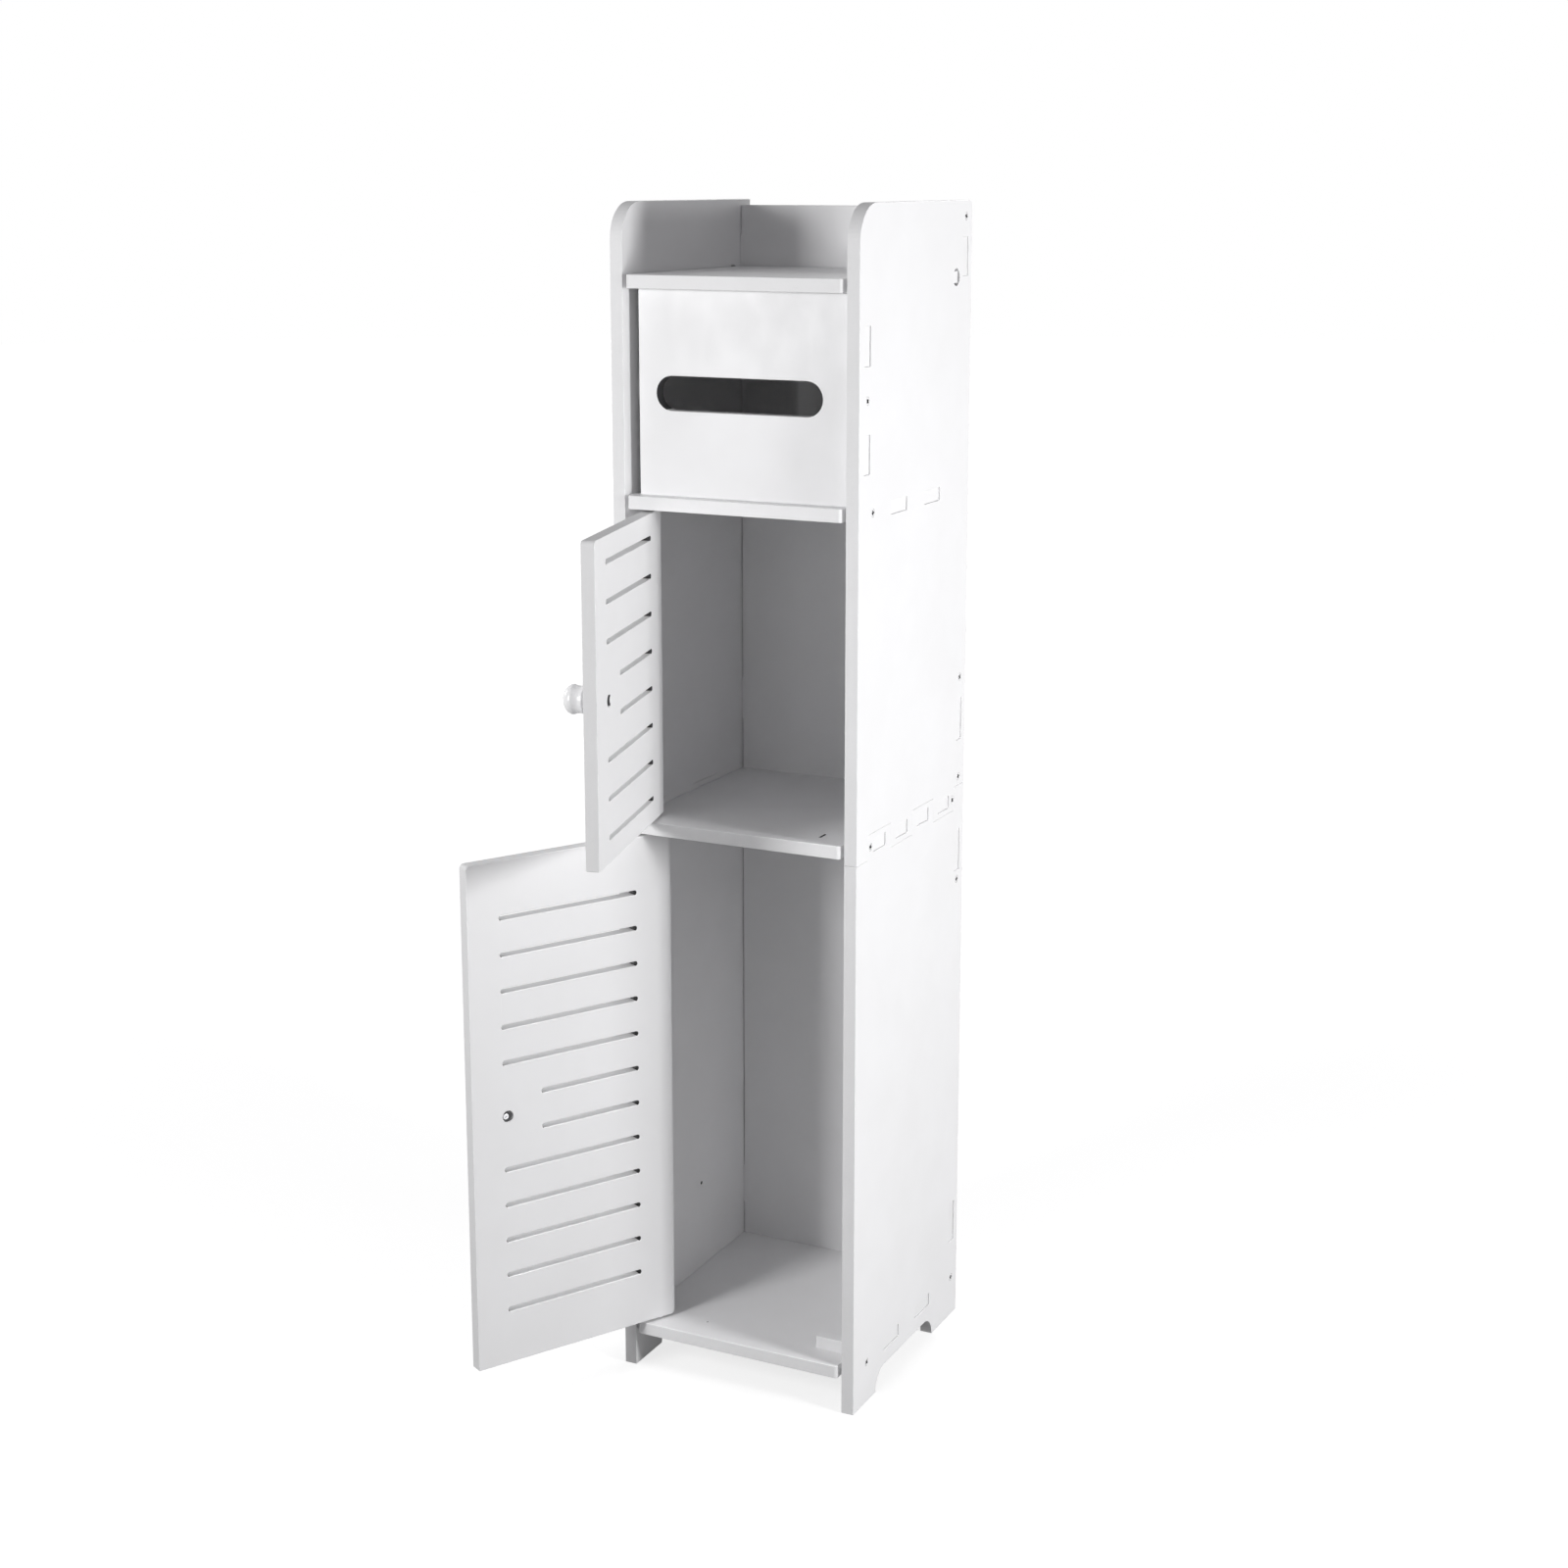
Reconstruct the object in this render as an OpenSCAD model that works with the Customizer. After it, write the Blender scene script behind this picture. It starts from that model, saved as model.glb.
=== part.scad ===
// Toilet roll storage cabinet, a narrow free-standing column of foam board.
// Origin: on the floor, under the middle of the column. X is to the right,
// the open front faces -Y, and Z is up. All sizes are in millimetres.
// The pieces are drawn as the cabinet stands open: lid down, both doors open.

/* [Column] */
// Outside width of the column
body_w = 220; // [205:1:250]
// Depth of the side panels
body_d = 225; // [215:1:245]
// Thickness of every board
board_t = 11; // [10:0.5:12]
// Radius of the top front corner of each side
side_corner_r = 30; // [5:1:45]

/* [Levels] */
// Clear height under the bottom shelf
foot_h = 31; // [26:1:60]
// Clear height of the lower compartment
lower_h = 441; // [435:1:520]
// Clear height of the upper compartment
upper_h = 261; // [256:1:320]
// Clear height of the paper compartment
paper_h = 166; // [150:1:220]
// Depth of the open tray above the lid
tray_h = 57; // [50:1:90]

/* [Feet] */
// Length of the front foot along the floor
front_foot = 46; // [30:1:60]
// Length of the rear foot along the floor
rear_foot = 56; // [30:1:60]
// Height of the arch between the feet
arch_h = 18; // [8:1:22]

/* [Joinery] */
// Clearance all round a tab in its slot
tab_fit = 0.15; // [0.05:0.05:0.3]
// How far the end of a tab stays inside the outer face of a side
tab_in = 1; // [0:0.1:2]
// Length of one finger where the side halves meet
finger_w = 45; // [40:1:46]
// How far a finger reaches past the middle of the seam
finger_h = 10.5; // [8:0.5:14]
// Open line between the fingers of the two side halves
seam_gap = 0.2; // [0:0.05:0.5]
// Distance from the rear edge of a side to the back panel
back_inset = 7.5; // [4:0.5:12]
// How far the back panel stops below the top of the sides
back_drop = 5; // [0:1:20]
// Open line between the back panel and each side
back_gap = 0.8; // [0.2:0.1:1.5]

/* [Shelves] */
// How far a shelf nose stands out in front of the sides
nose_out = 2; // [0:0.5:4]
// Side clearance of a shelf nose
nose_gap = 3.2; // [1:0.2:4]
// Depth of the notch behind the nose, from the front of the sides
nose_d = 7; // [4:1:9]

/* [Paper slot] */
// Width of the slot that the paper comes out of
slot_w = 148; // [100:1:155]
// Height of that slot
slot_h = 28; // [12:1:40]
// Open strip between the left side and the slot panel
slot_panel_gap = 9; // [2:0.5:12]

/* [Doors] */
// How far the closed doors and the slot panel stand back
recess = 10; // [8:0.5:14]
// Gap above and below a door
door_gap = 2; // [1.5:0.25:3]
// Gap beside a door
door_side_gap = 1.5; // [1.2:0.1:3]
// Distance from the left side to the hinge pins
pin_in = 15.5; // [14:0.5:18]
// Diameter of a hinge pin
pin_d = 5; // [4:0.5:6]
// Radius of the two door corners on the hinge side
hinge_corner_r = 6; // [2:0.5:12]
// Radius of the upper free corner of a door
free_corner_r = 4; // [2:0.5:12]
// Upper door, angle open as drawn
upper_open = 76; // [0:1:115]
// Lower door, angle open as drawn
lower_open = 119; // [0:1:119]

/* [Slats] */
// Height of one slot in a door
slat_h = 4; // [3:0.5:5]
// Spacing of the slots
slat_pitch = 31; // [24:1:33]
// Number of slots in the upper door
upper_slats = 8; // [2:2:8]
// Number of slots in the lower door
lower_slats = 12; // [2:2:12]

/* [Knobs] */
// Widest diameter of a knob
knob_d = 24; // [18:1:30]
// Length of a knob
knob_l = 25.5; // [20:0.5:32]
// Distance from the free edge of the door to the knob
knob_in = 33; // [25:1:38]

/* [Hidden] */
$fn = 48;
eps = 0.5;

// Heights of the boards, each given by its underside
bottom_z = foot_h;
middle_z = bottom_z + board_t + lower_h;
paper_z = middle_z + board_t + upper_h;
lid_z = paper_z + board_t + paper_h;
body_h = lid_z + board_t + tray_h;
seam_z = middle_z + board_t / 2;

// Faces of the column
inner_w = body_w - 2 * board_t;
front_y = -body_d / 2;
rear_y = body_d / 2;
back_front_y = rear_y - back_inset - board_t;
back_mid_y = back_front_y + board_t / 2;
left_x = -inner_w / 2;

// Shelf tabs: two on the paper and bottom shelves, four on the middle shelf
shelf_tab_l = 32;
shelf_tabs = [-34, 34];
seam_tab_l = 24;
seam_tabs = [for (i = [-1.5, -0.5, 0.5, 1.5]) i * finger_w];
nose_r = 3;
tab_span = body_w - 2 * tab_in;

// Tabs of the back halves and the slot panel, as [middle height, length]
back_upper_tabs = [[paper_z + 199, 32], [seam_z + 70, 37]];
back_lower_tabs = [[seam_z - 48, 37], [bottom_z + 60, 37]];
slot_mid_z = paper_z + board_t + paper_h / 2;
slot_panel_tabs = [[slot_mid_z - 42, 31], [slot_mid_z + 42, 31]];
slot_panel_y = front_y + recess;
slot_panel_head = 0.4;

// Screws through the sides, as [depth position, height]
screw_front_y = front_y + 27;
screw_d = 3.6;
screw_l = 30;
screw_head_d = 6.6;
screw_head_l = 2.2;
screw_rim = 0.4;
screw_point = 4;
screw_fit = 0.1;
upper_screws = [
    [back_mid_y, body_h - 13],
    [slot_panel_y + board_t / 2, slot_mid_z],
    [screw_front_y, paper_z + board_t / 2],
    [back_mid_y, seam_z + 107],
    [back_mid_y, seam_z + 18.5]
];
seam_screws = [[screw_front_y, seam_z], [back_front_y - 7, seam_z]];
lower_screws = [
    [back_mid_y, seam_z - 74.5],
    [screw_front_y, bottom_z + board_t / 2],
    [back_mid_y, bottom_z + board_t / 2]
];

// Lid and its two ears, which turn in round holes in the sides
lid_nose_out = 1;
lid_side_gap = 0.8;
lid_pivot_y = back_front_y - 14;
lid_pivot_z = lid_z + board_t / 2;
lid_tail = 12;
ear_r = 6.9;
ear_w = 10;
ear_h = board_t - 1;
ear_hole_r = 7.2;
ear_end_gap = 1.2;

// Hinge line and the doors
pin_x = left_x + pin_in;
pin_y = front_y + recess + board_t / 2;
pin_r = pin_d / 2;
pin_fit = 0.1;
pin_in_board = 4.8;
pin_in_door = 14;
pin_hole_extra = 0.2;
foot_corner_r = 1;
door_heel = pin_in - door_side_gap;
door_reach = inner_w - pin_in - door_side_gap;
upper_door_z = middle_z + board_t + door_gap;
upper_door_h = upper_h - 2 * door_gap;
lower_door_z = bottom_z + board_t + door_gap;
lower_door_h = lower_h - 2 * door_gap;
slat_start = 22;
slat_end = door_reach - 29;
short_end = slat_end - 36;

// Knob and its screw, which is driven from the inner face of the door
knob_base_d = 15;
knob_neck_d = 13;
knob_foot_l = 1.2;
knob_collar_l = 8.5;
knob_dome_l = 8.7;
knob_rim_in = 0.6;
knob_waist = 0.9;
knob_screw_d = 3.5;
knob_screw_l = 20;
knob_head_d = 5.6;
knob_head_l = 2;
washer_d = 8.8;
washer_t = 0.8;
washer_rim_l = 3;
washer_wall = 0.7;
knob_recess_d = 9.4;
knob_recess_h = 3.2;

// Stop block for the lower door, and the slit in the middle shelf
stop_l = 34;
stop_d = 10;
stop_h = 11;
stop_gap = 0.4;
slit_w = 1.8;
slit_l = 12;
slit_depth = 8;
slit_x = left_x + 168;
slit_y = front_y + 23.5;

// Two small blind holes: in the bottom shelf, and in the left wall above it
shelf_hole_d = 1.8;
shelf_hole_x = left_x + 57.5;
shelf_hole_y = front_y + 25;
wall_hole_d = 3;
wall_hole_y = 10;
wall_hole_z = bottom_z + 92;
small_hole_l = 2.5;

// ---------- Sides ----------

// Side outline: x is the depth position, y is the height
module side_outline() {
    difference() {
        union() {
            translate([front_y, 0]) square([body_d, body_h - side_corner_r]);
            translate([front_y + side_corner_r, 0]) square([body_d - side_corner_r, body_h]);
            translate([front_y + side_corner_r, body_h - side_corner_r])
                circle(r = side_corner_r, $fn = 96);
        }
        arch_outline();
    }
}

// Opening between the feet, with quarter-round upper corners
module arch_outline() {
    from_y = front_y + front_foot;
    to_y = rear_y - rear_foot;
    translate([from_y + arch_h, -eps]) square([to_y - from_y - 2 * arch_h, arch_h + eps]);
    for (y = [from_y + arch_h, to_y - arch_h])
        translate([y, 0]) circle(r = arch_h, $fn = 72);
    translate([from_y, -1]) square([to_y - from_y, 1]);
}

// Everything under the stepped seam, so that the halves interlock
module below_seam() {
    last = 5;
    edges = concat(
        [front_y - eps],
        [for (i = [-2 : 2]) i * finger_w],
        [rear_y + eps]
    );
    steps = [for (i = [last : -1 : 0], far = [1, 0])
        [edges[i + far], seam_z + (i % 2 == 0 ? -finger_h : finger_h)]];
    polygon(concat([[front_y - eps, -eps], [rear_y + eps, -eps]], steps));
}

// Slots for the tabs of the shelves, the back and, on the right, the slot panel
module tab_slots(is_right) {
    for (z = [paper_z, bottom_z], y = shelf_tabs)
        slot_at(y, z + board_t / 2, shelf_tab_l, board_t);
    for (y = seam_tabs)
        slot_at(y, seam_z, seam_tab_l, board_t);
    for (tab = concat(back_upper_tabs, back_lower_tabs))
        slot_at(back_mid_y, tab[0], board_t, tab[1]);
    if (is_right)
        for (tab = slot_panel_tabs)
            slot_at(slot_panel_y + board_t / 2, tab[0], board_t, tab[1]);
}

module slot_at(y, z, len_y, len_z) {
    translate([y, z])
        square([len_y + 2 * tab_fit, len_z + 2 * tab_fit], center = true);
}

// One half of a side, standing upright, from x = 0 to x = board_t
module side_half(is_upper, is_right) {
    holes = concat(is_upper ? screws_of(upper_screws, is_right) : lower_screws, seam_screws);
    difference() {
        rotate([90, 0, 90]) linear_extrude(board_t) {
            if (is_upper)
                difference() {
                    side_outline();
                    translate([0, seam_gap]) below_seam();
                    tab_slots(is_right);
                }
            else
                difference() {
                    intersection() {
                        side_outline();
                        below_seam();
                    }
                    tab_slots(is_right);
                }
        }
        if (is_upper)
            translate([-eps, lid_pivot_y, lid_pivot_z]) rotate([0, 90, 0])
                cylinder(r = ear_hole_r, h = board_t + 2 * eps);
        for (hole = holes)
            translate([board_t, hole[0], hole[1]]) rotate([0, 90, 0]) screw_hole(board_t);
    }
}

// The left side has no screw for the slot panel
function screws_of(list, is_right) =
    [for (hole = list) if (is_right || hole[0] != slot_panel_y + board_t / 2) hole];

module place_right() {
    translate([inner_w / 2, 0, 0]) children();
}

module place_left() {
    mirror([1, 0, 0]) place_right() children();
}

module left_side_upper() {
    color("white") place_left() side_half(true, false);
}

module left_side_lower() {
    color("white") difference() {
        place_left() side_half(false, false);
        translate([left_x + eps, wall_hole_y, wall_hole_z]) rotate([0, -90, 0])
            cylinder(d = wall_hole_d, h = small_hole_l + eps, $fn = 24);
    }
}

module right_side_upper() {
    color("white") place_right() side_half(true, true);
}

module right_side_lower() {
    color("white") place_right() side_half(false, true);
}

// ---------- Screws ----------

// Countersunk screw, pointing down, with its flat head at z = 0
module side_screw() {
    rotate_extrude($fn = 24)
        polygon([
            [0, 0],
            [screw_head_d / 2, 0],
            [screw_head_d / 2, -screw_rim],
            [screw_d / 2, -screw_head_l],
            [screw_d / 2, -screw_l + screw_point],
            [0, -screw_l]
        ]);
}

// Countersunk hole for it, through a board of the given thickness
module screw_hole(thickness) {
    rotate_extrude($fn = 24)
        polygon([
            [0, eps],
            [screw_head_d / 2 + screw_fit, eps],
            [screw_head_d / 2 + screw_fit, -screw_rim - screw_fit],
            [screw_d / 2 + screw_fit, -screw_head_l - screw_fit],
            [screw_d / 2 + screw_fit, -thickness - eps],
            [0, -thickness - eps]
        ]);
}

// Pilot hole in the end of a board, along X from its end face at x = 0
module pilot_hole() {
    rotate([0, 90, 0])
        translate([0, 0, -eps])
            cylinder(d = screw_d + 2 * screw_fit, h = screw_l - board_t + 2 * eps, $fn = 24);
}

// Pilot holes at both ends of a board, or at its right end alone
module pilot_holes(list, both_ends = true) {
    for (hole = list) {
        translate([inner_w / 2, hole[0], hole[1]]) mirror([1, 0, 0]) pilot_hole();
        if (both_ends)
            translate([-inner_w / 2, hole[0], hole[1]]) pilot_hole();
    }
}

module screw_row(list) {
    for (hole = list)
        translate([body_w / 2, hole[0], hole[1]]) rotate([0, 90, 0]) side_screw();
}

module right_side_screws() {
    color("silver") screw_row(concat(upper_screws, seam_screws, lower_screws));
}

module left_side_screws() {
    color("silver") mirror([1, 0, 0])
        screw_row(concat(screws_of(upper_screws, false), seam_screws, lower_screws));
}

// ---------- Shelves ----------

// Plan of a shelf: full width between the sides, a narrower nose in front,
// and tabs that pass through both sides
module shelf_plan(tabs, tab_l) {
    shoulder_y = front_y + nose_d;
    translate([-inner_w / 2, shoulder_y]) square([inner_w, back_front_y - shoulder_y]);
    nose_plan(inner_w - 2 * nose_gap, nose_out);
    for (y = tabs)
        translate([0, y]) square([tab_span, tab_l], center = true);
}

// Rounded nose in front of the shoulders
module nose_plan(width, out) {
    reach = nose_d + out;
    translate([0, front_y - out + reach / 2 + nose_r / 2])
        square([width, reach - nose_r], center = true);
    translate([0, front_y - out + nose_r / 2])
        square([width - 2 * nose_r, nose_r], center = true);
    for (x = [-1, 1])
        translate([x * (width / 2 - nose_r), front_y - out + nose_r]) circle(r = nose_r);
}

module pin_bore(z, up) {
    depth = pin_in_board + pin_hole_extra;
    translate([pin_x, pin_y, up ? z - eps : z - depth])
        cylinder(r = pin_r + pin_fit, h = depth + eps);
}

module paper_shelf() {
    color("white") difference() {
        translate([0, 0, paper_z]) linear_extrude(board_t) shelf_plan(shelf_tabs, shelf_tab_l);
        pilot_holes([[screw_front_y, paper_z + board_t / 2]]);
        pin_bore(paper_z, true);
    }
}

module middle_shelf() {
    color("white") difference() {
        translate([0, 0, middle_z]) linear_extrude(board_t) shelf_plan(seam_tabs, seam_tab_l);
        pilot_holes(seam_screws);
        pin_bore(middle_z, true);
        pin_bore(middle_z + board_t, false);
        translate([slit_x, slit_y, middle_z + board_t])
            cube([slit_w, slit_l, 2 * slit_depth], center = true);
    }
}

module bottom_shelf() {
    color("white") difference() {
        translate([0, 0, bottom_z]) linear_extrude(board_t) shelf_plan(shelf_tabs, shelf_tab_l);
        pilot_holes([[screw_front_y, bottom_z + board_t / 2]]);
        pin_bore(bottom_z + board_t, false);
        translate([shelf_hole_x, shelf_hole_y, bottom_z + board_t - small_hole_l])
            cylinder(d = shelf_hole_d, h = small_hole_l + eps, $fn = 24);
    }
}

// Block in the right front corner that the closed lower door meets
module lower_door_stop() {
    color("white")
        translate([inner_w / 2 - stop_l, front_y + recess + board_t + stop_gap, bottom_z + board_t])
            cube([stop_l, stop_d, stop_h]);
}

// ---------- Back and slot panel ----------

// A back half between two heights, with tabs into both sides
module back_half(from_z, to_z, tabs) {
    translate([-inner_w / 2 + back_gap, back_front_y, from_z])
        cube([inner_w - 2 * back_gap, board_t, to_z - from_z]);
    for (tab = tabs)
        translate([0, back_mid_y, tab[0]]) cube([tab_span, board_t, tab[1]], center = true);
}

module back_upper() {
    color("white") difference() {
        back_half(seam_z, body_h - back_drop, back_upper_tabs);
        pilot_holes([for (hole = upper_screws) if (hole[0] == back_mid_y) hole]);
    }
}

module back_lower() {
    color("white") difference() {
        back_half(bottom_z, seam_z, back_lower_tabs);
        pilot_holes([for (hole = lower_screws) if (hole[0] == back_mid_y) hole]);
    }
}

// Stadium outline, middle at the origin
module stadium(width, height) {
    square([width - height, height], center = true);
    for (x = [-1, 1])
        translate([x * (width - height) / 2, 0]) circle(d = height);
}

// Fixed panel in front of the paper, held by two tabs in the right side
module slot_panel() {
    from_x = left_x + slot_panel_gap;
    from_z = paper_z + board_t;
    panel_h = paper_h - slot_panel_head;
    color("white") difference() {
        translate([0, slot_panel_y + board_t, 0]) rotate([90, 0, 0]) linear_extrude(board_t)
            difference() {
                union() {
                    translate([from_x, from_z]) square([inner_w / 2 - from_x, panel_h]);
                    for (tab = slot_panel_tabs)
                        translate([inner_w / 2 - eps, tab[0] - tab[1] / 2])
                            square([board_t + eps - tab_in, tab[1]]);
                }
                translate([0, slot_mid_z]) stadium(slot_w, slot_h);
            }
        pilot_holes([[slot_panel_y + board_t / 2, slot_mid_z]], false);
    }
}

// ---------- Lid ----------

// Tray lid, lying down, with an ear at each side near its rear edge
module tray_lid() {
    width = inner_w - 2 * lid_side_gap;
    shoulder_y = front_y + nose_d;
    color("white") {
        translate([0, 0, lid_z]) linear_extrude(board_t) {
            translate([-width / 2, shoulder_y])
                square([width, lid_pivot_y + lid_tail - shoulder_y]);
            nose_plan(inner_w - 2 * nose_gap, lid_nose_out);
        }
        for (x = [-1, 1])
            translate([x * (width / 2 - eps), lid_pivot_y, lid_pivot_z]) rotate([0, x * 90, 0])
                linear_extrude(board_t + lid_side_gap + eps - ear_end_gap)
                    intersection() {
                        circle(r = ear_r);
                        square([ear_h, ear_w], center = true);
                    }
    }
}

// ---------- Doors ----------

// A door closed, with its hinge line on the Z axis and its foot at z = 0
module door_board(height, slats) {
    knob_x = door_reach - knob_in;
    difference() {
        intersection() {
            linear_extrude(height) {
                translate([-door_heel + board_t / 2, -board_t / 2])
                    square([door_reach + door_heel - board_t / 2, board_t]);
                translate([-door_heel + board_t / 2, 0]) circle(d = board_t);
            }
            translate([0, board_t / 2 + eps, 0]) rotate([90, 0, 0])
                linear_extrude(board_t + 2 * eps) rounded_face(height);
        }
        translate([0, board_t / 2 + eps, 0]) rotate([90, 0, 0])
            linear_extrude(board_t + 2 * eps) slat_rows(height, slats);
        translate([knob_x, 0, height / 2]) rotate([90, 0, 0]) {
            cylinder(d = knob_screw_d + 0.2, h = board_t + 2 * eps, center = true);
            translate([0, 0, -board_t / 2 - eps]) cylinder(d = knob_recess_d, h = knob_recess_h + eps);
        }
        for (z = [-eps, height - pin_in_door - pin_hole_extra])
            translate([0, 0, z]) cylinder(r = pin_r + 0.02, h = pin_in_door + pin_hole_extra + eps);
    }
}

// Face outline: round corners on the hinge side, a smaller one at the top of
// the free edge, and a nearly square one at its foot
module rounded_face(height) {
    difference() {
        translate([-door_heel, 0]) square([door_heel + door_reach, height]);
        translate([-door_heel, 0]) corner_cut(hinge_corner_r);
        translate([-door_heel, height]) mirror([0, 1]) corner_cut(hinge_corner_r);
        translate([door_reach, height]) mirror([1, 0]) mirror([0, 1]) corner_cut(free_corner_r);
        translate([door_reach, 0]) mirror([1, 0]) corner_cut(foot_corner_r);
    }
}

// What a round corner takes off a square one that stands at the origin
module corner_cut(radius) {
    difference() {
        translate([-eps, -eps]) square(radius + eps);
        translate([radius, radius]) circle(r = radius);
    }
}

// Rows of slots; the two rows beside the knob are shorter
module slat_rows(height, slats) {
    for (i = [0 : slats - 1]) {
        place = i - (slats - 1) / 2;
        row_end = abs(place) < 1 ? short_end : slat_end;
        translate([(slat_start + row_end) / 2, height / 2 + place * slat_pitch])
            stadium(row_end - slat_start, slat_h);
    }
}

// Straight hinge pin, pressed into the door and turning in the shelf
module hinge_pin(z_edge, up) {
    reach = door_gap + pin_in_board;
    translate([pin_x, pin_y, up ? z_edge - pin_in_door : z_edge - reach])
        cylinder(r = pin_r, h = pin_in_door + reach);
}

// Turned knob on the Z axis, with its foot at z = 0
module knob_body() {
    hole_l = knob_screw_l - board_t + knob_recess_h + pin_hole_extra;
    difference() {
        rotate_extrude($fn = 48) polygon(knob_profile());
        translate([0, 0, -eps]) cylinder(d = knob_screw_d + 0.1, h = hole_l + eps, $fn = 24);
    }
}

// Half profile: a foot, a neck, a broad collar with a shallow waist, and a dome
function knob_profile() =
    let (foot_r = knob_base_d / 2, neck_r = knob_neck_d / 2, head_r = knob_d / 2)
    let (rim_r = head_r - knob_rim_in)
    let (dome_z = knob_l - knob_dome_l, collar_z = dome_z - knob_collar_l, neck_z = collar_z / 2)
    concat(
        [[0, 0], [foot_r, 0], [foot_r, knob_foot_l]],
        [for (a = [15 : 15 : 90])
            [foot_r - (foot_r - neck_r) * sin(a), neck_z - (neck_z - knob_foot_l) * cos(a)]],
        [for (a = [15 : 15 : 90])
            [neck_r + (rim_r - neck_r) * (1 - cos(a)), neck_z + (collar_z - neck_z) * sin(a)]],
        [for (a = [15 : 15 : 165])
            [rim_r + knob_rim_in * a / 180 - knob_waist * sin(a), collar_z + knob_collar_l * a / 180]],
        [for (a = [0 : 10 : 90])
            [head_r * cos(a), dome_z + knob_dome_l * sin(a)]]
    );

// Pan-head screw on the Z axis, pointing up, with its cupped washer's face at z = 0
module knob_screw_body() {
    translate([0, 0, -washer_t]) {
        cylinder(d = knob_screw_d, h = washer_t + knob_screw_l, $fn = 24);
        translate([0, 0, washer_t - washer_rim_l]) difference() {
            cylinder(d = washer_d, h = washer_rim_l, $fn = 32);
            translate([0, 0, -eps])
                cylinder(d = washer_d - 2 * washer_wall, h = washer_rim_l - washer_t + eps, $fn = 32);
        }
        translate([0, 0, -knob_head_l])
            cylinder(d = knob_head_d, h = knob_head_l + washer_t / 2, $fn = 32);
    }
}

// Takes a door, or a piece on it, from closed to its open place
module swing(angle) {
    translate([pin_x, pin_y, 0]) rotate([0, 0, -angle]) children();
}

// Puts a knob piece on the outer face of a closed door
module on_outer_face(z) {
    translate([door_reach - knob_in, -board_t / 2, z]) rotate([90, 0, 0]) children();
}

// Puts a screw in the recess of the inner face of a closed door
module in_inner_face(z) {
    translate([door_reach - knob_in, board_t / 2 - knob_recess_h, z]) rotate([90, 0, 0]) children();
}

module upper_door() {
    color("white") swing(upper_open) translate([0, 0, upper_door_z])
        door_board(upper_door_h, upper_slats);
}

module lower_door() {
    color("white") swing(lower_open) translate([0, 0, lower_door_z])
        door_board(lower_door_h, lower_slats);
}

module upper_door_top_pin() {
    color("silver") hinge_pin(upper_door_z + upper_door_h, true);
}

module upper_door_bottom_pin() {
    color("silver") hinge_pin(upper_door_z, false);
}

module lower_door_top_pin() {
    color("silver") hinge_pin(lower_door_z + lower_door_h, true);
}

module lower_door_bottom_pin() {
    color("silver") hinge_pin(lower_door_z, false);
}

module upper_knob() {
    color("white") swing(upper_open) on_outer_face(upper_door_z + upper_door_h / 2) knob_body();
}

module upper_knob_screw() {
    color("silver") swing(upper_open)
        in_inner_face(upper_door_z + upper_door_h / 2) knob_screw_body();
}

module lower_knob() {
    color("white") swing(lower_open) on_outer_face(lower_door_z + lower_door_h / 2) knob_body();
}

module lower_knob_screw() {
    color("silver") swing(lower_open)
        in_inner_face(lower_door_z + lower_door_h / 2) knob_screw_body();
}

left_side_upper();
left_side_lower();
right_side_upper();
right_side_lower();
back_upper();
back_lower();
slot_panel();
paper_shelf();
middle_shelf();
bottom_shelf();
lower_door_stop();
left_side_screws();
right_side_screws();
tray_lid();
upper_door();
upper_door_top_pin();
upper_door_bottom_pin();
upper_knob();
upper_knob_screw();
lower_door();
lower_door_top_pin();
lower_door_bottom_pin();
lower_knob();
lower_knob_screw();
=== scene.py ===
"""Looks for a narrow white bathroom column made of foamed board.

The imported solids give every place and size. Each board is taken from its
solid, its edges are broken the way a router leaves them, and it gets a satin
skin on its faces and a cut finish on its edges. Screws, knobs and hinge pins
are finished in the same way, and a pale studio stands around the column.
"""
from __future__ import annotations

import logging
import math
from dataclasses import dataclass, field, replace
from enum import Enum
from typing import Iterable, Sequence

import bmesh
import bpy
from mathutils import Matrix, Vector


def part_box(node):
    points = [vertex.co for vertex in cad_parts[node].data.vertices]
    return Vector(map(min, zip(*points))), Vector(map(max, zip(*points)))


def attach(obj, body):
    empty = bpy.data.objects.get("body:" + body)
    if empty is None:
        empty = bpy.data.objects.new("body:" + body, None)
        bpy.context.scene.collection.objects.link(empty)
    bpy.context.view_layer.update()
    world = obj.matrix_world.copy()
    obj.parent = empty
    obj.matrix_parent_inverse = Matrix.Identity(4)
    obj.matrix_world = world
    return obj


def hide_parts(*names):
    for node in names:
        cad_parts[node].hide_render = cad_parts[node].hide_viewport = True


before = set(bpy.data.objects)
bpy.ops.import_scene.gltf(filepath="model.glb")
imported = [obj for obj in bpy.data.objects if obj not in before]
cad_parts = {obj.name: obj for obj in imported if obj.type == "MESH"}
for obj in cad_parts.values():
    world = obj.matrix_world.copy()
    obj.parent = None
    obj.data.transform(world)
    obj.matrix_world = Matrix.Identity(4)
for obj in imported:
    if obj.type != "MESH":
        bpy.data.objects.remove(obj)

log = logging.getLogger("column")

MM = 0.001

WELD = 0.01 * MM  # vertices closer than this become one
FLAT_ANGLE = 0.5  # degrees, below which neighbouring faces become one
STRIP_FILL = 0.8  # a broken edge covers less than this share of its width
SCREW_SHARP = 28.0  # degrees, above which a screw's edges stay crisp

# A Mix node's colour sockets: the first input, the second and the result.
MIX_FIRST, MIX_SECOND, MIX_RESULT = 6, 7, 2

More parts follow.
